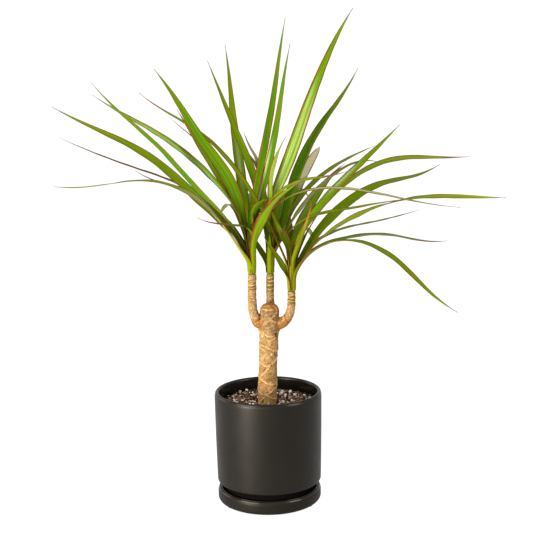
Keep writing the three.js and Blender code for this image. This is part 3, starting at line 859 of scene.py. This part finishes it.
# One row for each leaf, angles in degrees:
# [root height, heading, swing, length, width, roll at two fifths, roll at the tip, [climb, five stations]]
# and, in place of TIP_POWER, a power for its taper: a high one is blunt, and one under 1 thins early
LEAVES = {}
LEAVES["left"] = [
    [4, 198, 0, 275, 12, -55, -55, [65, 49, 43, 27, 30]],
    [6, 220, 0, 275, 11, -40, 40, [55, 48, 22, -3, 9]],
    [8, 150, 0, 300, 9, 5, -5, [62, 40, 16, 16, 20]],
    [10, 166, 8, 262, 11, 45, 50, [75, 45, 49, 41, 51]],
    [14, 150, -8, 292, 12, 60, 60, [85, 50, 33, 23, 26]],
    [12, 175, 0, 231, 13.5, -65, -65, [78, 77, 55, 60, 52]],
    [16, 140, 0, 192, 11, 12, -8, [80, 60, 50, 52, 51]],
    [18, 128, 0, 221, 9, 35, 15, [77, 61, 39, 26, 25]],
    [8, 132, 0, 237, 10, 14, -4, [68, 32, 19, 6, 20]],
    [20, 100, 10, 260, 11.5, -12, 18, [41, 58, 56, 73, 68]],
    [8, -72, 6, 190, 11.5, -40, -65, [90, 42, 31, 20, 22], 0.65],
    [14, -50, 0, 83, 9, -10, -58, [100, 88, 78, 44, 5]],
    [24, 80, 0, 54, 6, 20, 20, [108, 102, 92, 70, 50]],
    [24, 68, 0, 274, 8.5, 23, 22, [93, 62, 60, 67, 62]],
    [22, 54, 0, 234, 8.5, 20, 25, [83, 65, 69, 74, 69]],
    [12, -33, 0, 176, 8, 42, 30, [82, 68, 37, 9, 20]],
    [10, -30, 0, 281, 7, 20, 16, [93, 40, 3, -9, -2]],
    [22, 248, 0, 158, 3, -50, -65, [115, 19, 10, 11, 19]],
    [6, 92, 0, 230, 11, 10, -12, [70, 38, 8, -18, -38]],
    [10, 104, 0, 200, 11, -8, 10, [64, 34, 6, -16, -34]],
]
LEAVES["middle"] = [
    [22, 126, 6, 234, 9.5, -16, -6, [76, 70, 56, 58, 59]],
    [20, 28, 6, 288, 14, 48, 40, [98, 67, 67, 62, 51]],
    [14, 35, 0, 241, 13.5, 20, 12, [56, 73, 59, 46, 56]],
    [26, 42, 0, 126, 7, 7, 12, [108, 78, 88, 68, 48]],
    [20, 55, 0, 152, 11, 3, 30, [61, 45, 51, 45, 32], 8],
    [16, 40, 0, 205, 10, 0, 16, [60, 53, 32, 19, 13]],
    [12, 24, 0, 180, 10, -50, -43, [60, 55, 42, 25, -15]],
    [8, -17, -16, 181, 8, 20, 27, [74, 45, 13, 12, 10]],
    [4, 125, 0, 52, 9, 6, -8, [40, 50, 46, 44, 43]],
    [24, 100, 6, 186, 8, 50, 0, [58, 69, 40, 19, 37]],
    [20, 102, 0, 160, 8, 53, -26, [59, 72, 50, 16, 16]],
    [8, 84, 0, 230, 11, 12, -10, [70, 36, 4, -20, -38]],
    [14, 74, 0, 220, 11, -10, 8, [66, 38, 10, -12, -30]],
]
LEAVES["right"] = [
    [16, 26, 0, 214, 11, 22, 65, [89, 56, 41, 38, 40]],
    [12, 30, -4, 297, 11, -53, -53, [77, 50, 24, -2, 0]],
    [10, 34, 0, 254, 12.5, 28, 30, [65, 43, 24, 5, 23]],
    [8, 8, -8, 268, 11, -40, 100, [71, 36, 16, -1, -3]],
    [6, 30, 0, 233, 9, 8, 39, [78, 17, 0, -14, 0]],
    [3, -30, -6, 234, 11, 0, 35, [78, 30, -14, -40, -23]],
    [10, 46, 0, 247, 8, 0, 9, [67, 19, 2, 3, 5]],
    [20, -50, 0, 84, 6, -11, -47, [74, 67, 63, 64, 76]],
    [20, 78, -25, 232, 10.5, 32, 40, [76, 23, 18, 24, 17]],
    [14, 174, -44, 283, 7.5, -26, -11, [72, 63, 50, 26, 26]],
    [8, 197, 0, 62, 7, -65, -65, [50, 68, 60, 56, 66]],
    [16, 179, 0, 81, 8, -50, -65, [85, 82, 67, 68, 70]],
    [20, 174, 0, 48, 4.5, -22, -49, [87, 90, 82, 66, 54]],
    [6, 92, 0, 220, 11, 8, -14, [70, 36, 4, -22, -42]],
    [10, 78, 0, 180, 11, -12, 10, [64, 32, 2, -20, -38]],
]
WHOLE = (-1.2, 1.2)  # all of a leaf's width


def look(tint=0.4, dry=0.9, *washes, gold=0.2, under=0.5, margins=(0.85, 0.85)):
    """How a leaf differs: tint (-1 darkest, 0 deep green, 1 yellow green), where its dry tip begins,
    washes [kind, from, to along the leaf, from, to across it, strength], gold of the tip, paleness beneath
    and widths of its margins."""
    return {"tint": tint, "dry": dry, "washes": washes, "gold": gold, "under": under, "margins": margins}


LEAF_LOOKS = {}
LEAF_LOOKS["left"] = {
    0: look(0.55, 0.93, under=0.1),
    1: look(0.9, 0.9, ("cream", 0.22, 0.45, *WHOLE, 0.35), under=0.9, margins=(0.6, 0.6)),
    2: look(0.4, 0.8, ("maroon", 0.45, 1.1, *WHOLE, 0.75)),
    3: look(-0.4, 0.93, under=0.0),
    4: look(-0.4, 0.93, ("cream", 0.3, 0.75, -0.4, 0.4, 0.12), under=0.0),
    5: look(0.1, 0.95, ("maroon", 0.1, 0.75, -0.2, 0.0, 0.6)),
    6: look(0.7, 0.93),
    7: look(0.4, 0.8, under=0.6),
    8: look(0.5, 0.7),
    9: look(0.4, 0.97, ("cream", 0.35, 0.52, -0.3, 0.3, 0.4), gold=0.6),
    10: look(0.4, 0.85, ("maroon", 0.05, 0.75, -1.2, -0.5, 0.45), under=0.0, margins=(2.1, 0.9)),
    11: look(-0.7, 0.97, under=0.0),
    12: look(-0.5, 0.97, under=0.0),
    13: look(-0.1, 0.97, ("gold", 0.1, 0.5, 0.6, 1.2, 0.8), gold=0.9, margins=(0.9, 0.8)),
    14: look(
        0.05, 0.97, ("pale", 0.12, 0.5, 0.25, 1.2, 0.9), ("cream", 0.15, 0.42, 0.55, 1.2, 0.5),
        margins=(0.8, 0.8),
    ),
    15: look(0.5, 0.8),
    16: look(0.6, 0.85, ("cream", 0.35, 0.8, -0.2, 1.2, 0.5), under=0.4),
    17: look(0.5, 0.5, gold=0.7),
}
LEAF_LOOKS["middle"] = {
    0: look(0.35, 0.95),
    # Whitish stripes on this big leaf: painted sheen, the reflection on its glossy upper face
    1: look(
        0.3, 0.96, ("pale", 0.15, 0.6, -0.65, -0.45, 1), ("pale", 0.2, 0.66, 0.0, 0.55, 0.9),
        gold=0.6, margins=(1.3, 1.3),
    ),
    2: look(0.08, 0.93, ("maroon", 0.55, 0.75, -0.2, 0.4, 0.4), margins=(0.9, 1.0)),
    3: look(0.6, 0.93, ("pale", 0.5, 0.9, *WHOLE, 0.3)),
    # Cream towards this leaf's tip: painted glare on its upper face at a grazing angle
    4: look(0.3, 1.1, ("cream", 0.6, 1.2, *WHOLE, 0.8)),
    5: look(0.6, 0.9, under=0.9),
    6: look(0.5, 0.9, ("cream", 0.3, 0.7, -0.6, 0.2, 0.3), under=0.9),
    7: look(0.4, 0.85, under=0.6),
    9: look(0.4, 0.9, ("cream", 0.65, 0.9, *WHOLE, 0.4)),
    10: look(0.35, 0.9, ("pale", 0.35, 0.52, *WHOLE, 0.7)),
}
LEAF_LOOKS["right"] = {
    0: look(0.3, 0.94, ("cream", 0.5, 0.66, 0.0, 0.6, 0.4)),
    1: look(0.5, 0.87, under=0.55),
    2: look(0.45, 0.95, under=0.3),
    3: look(0.6, 0.93),
    4: look(0.5, 0.8, ("cream", 0.4, 0.7, -1.2, 0.0, 0.4)),
    5: look(0.45, 0.95, ("maroon", 0.05, 0.3, -0.5, 0.5, 0.5), under=0.45, margins=(1.0, 1.0)),
    6: look(0.65, 0.8),
    7: look(0.6, 0.75, ("gold", 0.65, 0.9, *WHOLE, 0.5), gold=1.0),
    8: look(0.5, 0.88),
    9: look(0.6, 0.85, gold=0.7, under=0.6),
    10: look(0.3, 0.95, gold=0.9, margins=(1.0, 1.0)),
}
LEAF_KEYS = ["leaf_mm", "leaf_edge", "leaf_look", "leaf_margin", "leaf_wash", "leaf_cream"]


def read_angles(angles, t):
    last = len(angles) - 1
    at = min(max(t, 0), 1) * last
    i = min(int(at), last - 1)
    p1, p2 = angles[i], angles[i + 1]
    p0 = angles[i - 1] if i > 0 else 2 * p1 - p2
    p3 = angles[i + 2] if i < last - 1 else 2 * p2 - p1
    return spline(p0, p1, p2, p3, at - i)


def width_share(t, tip_power):
    if t < WIDEST_AT:
        return mix(SHEATH_WIDTH, 1, float(smoothstep(t, 0, WIDEST_AT)))
    return 1 - ((t - WIDEST_AT) / (1 - WIDEST_AT)) ** tip_power


def unit(v):
    return v / np.linalg.norm(v)


def leaf_sections(foot, plan, rank):
    """Stations of a leaf: [middle, across, face, half width, half wrap angle, t, length from the foot]."""
    height, heading, swing, length, width, mid_roll, tip_roll, climbs = plan[:8]
    tip_power = plan[8] if len(plan) > 8 else TIP_POWER
    foot = np.array(foot, float)
    base = radians(heading)
    outward = np.array([cos(base), sin(base), 0])

    def girth(level):
        return np.interp(level, *zip(*HEART_GIRTH)) + HEART_GAP + 0.5 * (1 - rank)

    def azimuth_at(t):
        return base + radians(swing * t * t)

    core = girth(height)
    start = 0.6 + 1.6 * rank
    stations = []  # [place, azimuth, t, length from the foot]
    for level in np.linspace(start, height, 7)[:-1] if height > start + 2 else []:
        stations.append((foot + outward * girth(level) + np.array([0, 0, level]), base, 0.0, level))
    walker = foot + np.array([0, 0, height])
    travelled = 0.0
    for k in range(SPINE_STEPS + 1):
        t = k / SPINE_STEPS
        gone = float(np.dot(walker[:2] - foot[:2], outward[:2]))
        pushed = (gone + core + sqrt((gone - core) ** 2 + 4)) / 2 - gone
        fade = 1 - float(smoothstep(t, 0.1, 0.25))
        stations.append((walker + outward * pushed * fade, azimuth_at(t), t, height + travelled))
        middle = (k + 0.5) / SPINE_STEPS
        climb = radians(read_angles(climbs, middle))
        turned = azimuth_at(middle)
        level_step = cos(climb)
        step = np.array([level_step * cos(turned), level_step * sin(turned), sin(climb)])
        walker = walker + step * length / SPINE_STEPS
        travelled += length / SPINE_STEPS
    sections = []
    for i, (spot, azimuth, t, reach) in enumerate(stations):
        along = unit(stations[min(i + 1, len(stations) - 1)][0] - stations[max(i - 1, 0)][0])
        level = np.array([-sin(azimuth), cos(azimuth), 0])
        upper = unit(np.cross(along, level))
        to_tip = (tip_roll - mid_roll) * min(max((t - 0.4) / 0.6, 0), 1)
        roll = radians(mid_roll * float(smoothstep(t, 0, 0.4)) + to_tip)
        across = level * cos(roll) + upper * sin(roll)
        face = upper * cos(roll) - level * sin(roll)
        gone = float(np.linalg.norm((spot - foot)[:2]))
        wrap = 1 - float(smoothstep(gone, core + 1, core + 14))
        half = max(width / 2 * width_share(t, tip_power), TIP_HALF)
        half = mix(half, max(half, ROOT_HALF), wrap * (1 - rank * 0.4))
        hug = mix(GUTTER_WRAP * (1 - 0.5 * t), min(half / (core + 0.2), ROOT_WRAP), wrap)
        sections.append((spot, across, face, half, hug, t, reach))
    return sections


def window(x, low, high, soft):
    """1 between low and high, and 0 outside them, with soft ends."""
    inside = float(smoothstep(x, low - soft, low + soft))
    return inside * (1 - float(smoothstep(x, high - soft, high + soft)))


def add_point(store, spot, *values):
    store["points"].append(spot)
    for key, value in zip(LEAF_KEYS, values):
        store[key].append(value)


def add_leaf(store, foot, plan, style, rank, draw):
    sections = leaf_sections(foot, plan, rank)
    seed = draw.uniform(0, 400)
    wave, phase = draw.uniform(24, 42), draw.uniform(0, 6.3)
    columns = np.linspace(-1, 1, 2 * ACROSS + 1)
    columns = np.sign(columns) * np.abs(columns) ** 0.85
    first = len(store["points"])
    for middle, across, face, half, hug, t, reach in sections:
        curl = half / hug
        thick = mix(ROOT_THICK, TIP_THICK, t)
        for side in (1, -1):
            for v in columns if side > 0 else columns[::-1]:
                bend = v * hug
                spot = middle + across * curl * sin(bend) + face * curl * (1 - cos(bend))
                outward = face * cos(bend) - across * sin(bend)
                ripple = RIPPLE * v * v * sin(tau * reach / wave + phase + 0.8 * v) * float(t > 0)
                ripple *= min(half / 4, 1) * float(smoothstep(t, 0.05, 0.25))
                local = thick * (0.5 - 0.28 * v * v)
                wash = dict.fromkeys(("pale", "gold", "maroon", "cream"), 0.0)
                for kind, t0, t1, v0, v1, strength in style["washes"]:
                    amount = window(t, t0, t1, 0.08) * window(v, v0, v1, 0.15)
                    wash[kind] = max(wash[kind], amount * strength)
                add_point(
                    store,
                    spot + outward * (side * local + ripple),
                    (v * half, reach, seed),
                    ((1 + v) * half, (1 - v) * half, t),
                    (style["tint"], style["dry"], style["gold"]),
                    (*style["margins"], style["under"] if side < 0 else 0.0),
                    (wash["pale"], wash["gold"], wash["maroon"]),
                    wash["cream"],
                )
    size = 2 * len(columns)
    store["faces"] += ring_faces(first, len(sections), size)
    for start in (first, first + (len(sections) - 1) * size):
        for k in range(len(columns) - 1):
            quad = [start + k, start + k + 1, start + size - 2 - k, start + size - 1 - k]
            store["faces"].append(quad if start != first else quad[::-1])


def add_heart(store, foot, tint):
    """The soft growing point, hidden in the leaf roots."""
    rows = [(0.25, 3.1), *[(h, r - HEART_GAP) for h, r in HEART_GIRTH], (44.4, 0.1)]
    sides = 28
    store["faces"] += ring_faces(len(store["points"]), len(rows), sides, caps=True)
    for height, radius in rows:
        for k, offset in enumerate(ring_points(radius, height, sides)):
            edge, plain_look, margin = (3.0, 3.0, 0.0), (tint, 1.2, 0.2), (0.5, 0.5, 0.0)
            spot = np.array(foot) + offset
            add_point(store, spot, (k * 0.9, height, 7.0), edge, plain_look, margin, (0.0, 0.0, 0.0), 0.0)


def leaf_shader():
    shader = Shader("leaf", Specular_IOR_Level=0.05, Specular_Tint=(0.8, 1, 0.3, 1))
    spread, blend, multiply = shader.spread, shader.blend, partial(shader.math, "MULTIPLY")
    place = shader.node("ShaderNodeAttribute", attribute_name="leaf_mm").outputs["Vector"]
    _, reach, _ = shader.vector("leaf_mm")
    left_edge, right_edge, t = shader.vector("leaf_edge")
    tint, dry, gold_tip = shader.vector("leaf_look")
    left_margin, right_margin, under = shader.vector("leaf_margin")
    pale, gold, maroon = shader.vector("leaf_wash")
    cream = shader.number("leaf_cream")
    fibres = shader.noise(place, 1.0, 3, 0.6, (1.5, 0.012, 1))
    bands = shader.noise(place, 1.0, 2, 0.5, (0.55, 0.006, 1))
    patches = shader.noise(place, 1.0, 3, 0.6, (0.12, 0.03, 1))
    specks = shader.noise(place, 1.0, 4, 0.7, (2.2, 0.5, 1))

    green = blend(spread(tint, 0, 1), (0.064, 0.182, 0.0008), (0.24, 0.288, 0.001))
    green = blend(spread(tint, 0, -1), green, (0.02, 0.062, 0.0005))
    lighter = blend(0.5, green, (0.23, 0.34, 0.012))
    darker = blend(0.5, green, (0.012, 0.05, 0.0003))
    beneath = blend(spread(bands, 0.3, 0.7), (0.17, 0.225, 0.006), (0.265, 0.305, 0.02))
    lime = blend(spread(fibres, 0.3, 0.7), (0.135, 0.192, 0.0006), (0.205, 0.255, 0.001))
    # Pale green wash: painted sheen and reflection on glossy upper faces, and some leaves' own paler tissue
    sheen_and_pale_green = blend(spread(fibres, 0.35, 0.6), (0.17, 0.29, 0.012), (0.46, 0.54, 0.18))
    dried = blend(gold_tip, (0.15, 0.092, 0.05), (0.28, 0.105, 0.016))
    dry_edge = shader.math("ADD", t, spread(patches, 0.3, 0.7, -0.03, 0.03))
    dry_share = spread(shader.math("SUBTRACT", dry_edge, dry), -0.02, 0.05)
    shader.colour = green
    shader.paint(
        (spread(patches, 0.3, 0.7, 0, 0.45), (0.105, 0.2, 0.001)),
        (spread(bands, 0.5, 0.7, 0, 0.7), lighter),
        (spread(fibres, 0.5, 0.3, 0, 0.6), darker),
        (under, beneath),
        (spread(reach, 38, 10, 0, 0.95), lime),
        (pale, sheen_and_pale_green),
        # Cream wash: the leaves' own cream stripes, and painted glare near one leaf's tip
        (cream, (0.58, 0.51, 0.33)),
        (gold, (0.34, 0.2, 0.018)),
        (maroon, (0.09, 0.032, 0.014)),
        (dry_share, dried),
    )

    wander = spread(patches, 0.3, 0.7, 0.7, 1.3)
    breadth = spread(shader.math("ADD", left_edge, right_edge), 1.2, 7, 0, 1)
    living = spread(dry_share, 0, 1, 1, 0.15)
    red = blend(spread(patches, 0.4, 0.6), (0.11, 0.018, 0.006), (0.235, 0.048, 0.012))
    for edge, width in ((left_edge, left_margin), (right_edge, right_margin)):
        limit = multiply(multiply(width, wander), breadth)
        margin = spread(shader.math("SUBTRACT", edge, limit), 0.35, -0.15, 0, 0.9)
        shader.paint((multiply(margin, living), red))
    shader.paint((spread(specks, 0.68, 0.8, 0, 0.12), (0.24, 0.2, 0.03)))
    rough = spread(bands, 0.3, 0.7, 0.34, 0.46)
    return shader.finish(Roughness=rough, Normal=shader.bump(fibres, 0.3, 0.00006))


leaf_look = leaf_shader()


def make_crown(name, seed):
    draw = random.Random(seed)
    store = {key: [] for key in ["points", "faces", *LEAF_KEYS]}
    foot, plans = CROWN_FEET[name], LEAVES[name]
    top = max(plan[0] for plan in plans)
    add_heart(store, foot, 0.8)
    for number, plan in enumerate(plans):
        add_leaf(store, foot, plan, LEAF_LOOKS[name].get(number, look()), plan[0] / top, draw)
    points, faces = store.pop("points"), store.pop("faces")
    piece = new_piece(f"leaves_{name}", points, faces, leaf_look, store)
    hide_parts(f"crown_{name}")


make_crown("left", 5)
make_crown("middle", 6)
make_crown("right", 7)

# ---- Floor and light ----
# The floor and the world look white to the camera, and light the plant less than that.
FLOOR_LIGHT, FLOOR_SEEN = 0.6, 0.94
WORLD_LIGHT, WORLD_SEEN = 0.6, 1.05
WARM = (1, 0.985, 0.96)


def make_floor():
    shader = Shader("floor_white", Roughness=0.9, Specular_IOR_Level=0.1)
    tone = shader.noise(shader.place(), 3, 2)
    shader.colour = shader.blend(shader.spread(tone, 0.3, 0.7), (0.19, 0.19, 0.19), (0.21, 0.21, 0.21))
    seen = shader.node("ShaderNodeLightPath").outputs["Is Camera Ray"]
    glow = shader.spread(seen, 0, 1, FLOOR_LIGHT, FLOOR_SEEN)
    shader.finish(Emission_Color=(1, 1, 1), Emission_Strength=glow)
    mesh = bpy.data.meshes.new("floor")
    work = bmesh.new()
    bmesh.ops.create_circle(work, cap_ends=True, segments=96, radius=14)
    work.to_mesh(mesh)
    work.free()
    floor = bpy.data.objects.new("floor", mesh)
    floor.location.z = -0.0002
    floor.data.materials.append(shader.material)
    scene.collection.objects.link(floor)


def make_light(name, place, aim, size, power, colour=(1, 1, 1)):
    data = bpy.data.lights.new(name, "AREA")
    data.shape = "RECTANGLE"
    data.size, data.size_y = size
    data.energy = power
    data.color = colour
    light = bpy.data.objects.new(name, data)
    scene.collection.objects.link(light)
    light.location = place
    light.visible_camera = False
    light.rotation_euler = (Vector(aim) - Vector(place)).to_track_quat("-Z", "Y").to_euler()


def make_world():
    world = bpy.data.worlds.new("studio")
    world.use_nodes = True
    scene.world = world
    tree = world.node_tree
    background = tree.nodes["Background"]
    path = tree.nodes.new("ShaderNodeLightPath")
    level = tree.nodes.new("ShaderNodeMapRange")
    level.inputs["To Min"].default_value = WORLD_LIGHT
    level.inputs["To Max"].default_value = WORLD_SEEN
    tree.links.new(path.outputs["Is Camera Ray"], level.inputs["Value"])
    tree.links.new(level.outputs["Result"], background.inputs["Strength"])
    background.inputs["Color"].default_value = (1, 1, 1, 1)


make_floor()
make_world()
make_light("key", (-1.5, -1.25, 1.25), (0, 0, 0.2), (1.6, 1.1), 27, WARM)
make_light("low", (-0.86, -0.88, 0.1), (0, 0, 0.08), (0.3, 0.2), 18, WARM)
make_light("wide", (-0.62, -1.03, 0.22), (0, 0, 0.06), (2.4, 0.3), 4, WARM)
make_light("side", (-1.6, 0.7, 0.6), (0, 0, 0.15), (0.9, 0.9), 3, (1, 0.88, 0.72))
make_light("fill", (1.5, -0.9, 0.9), (0, 0, 0.25), (0.8, 1.2), 11)
scene.view_settings.view_transform = "Standard"
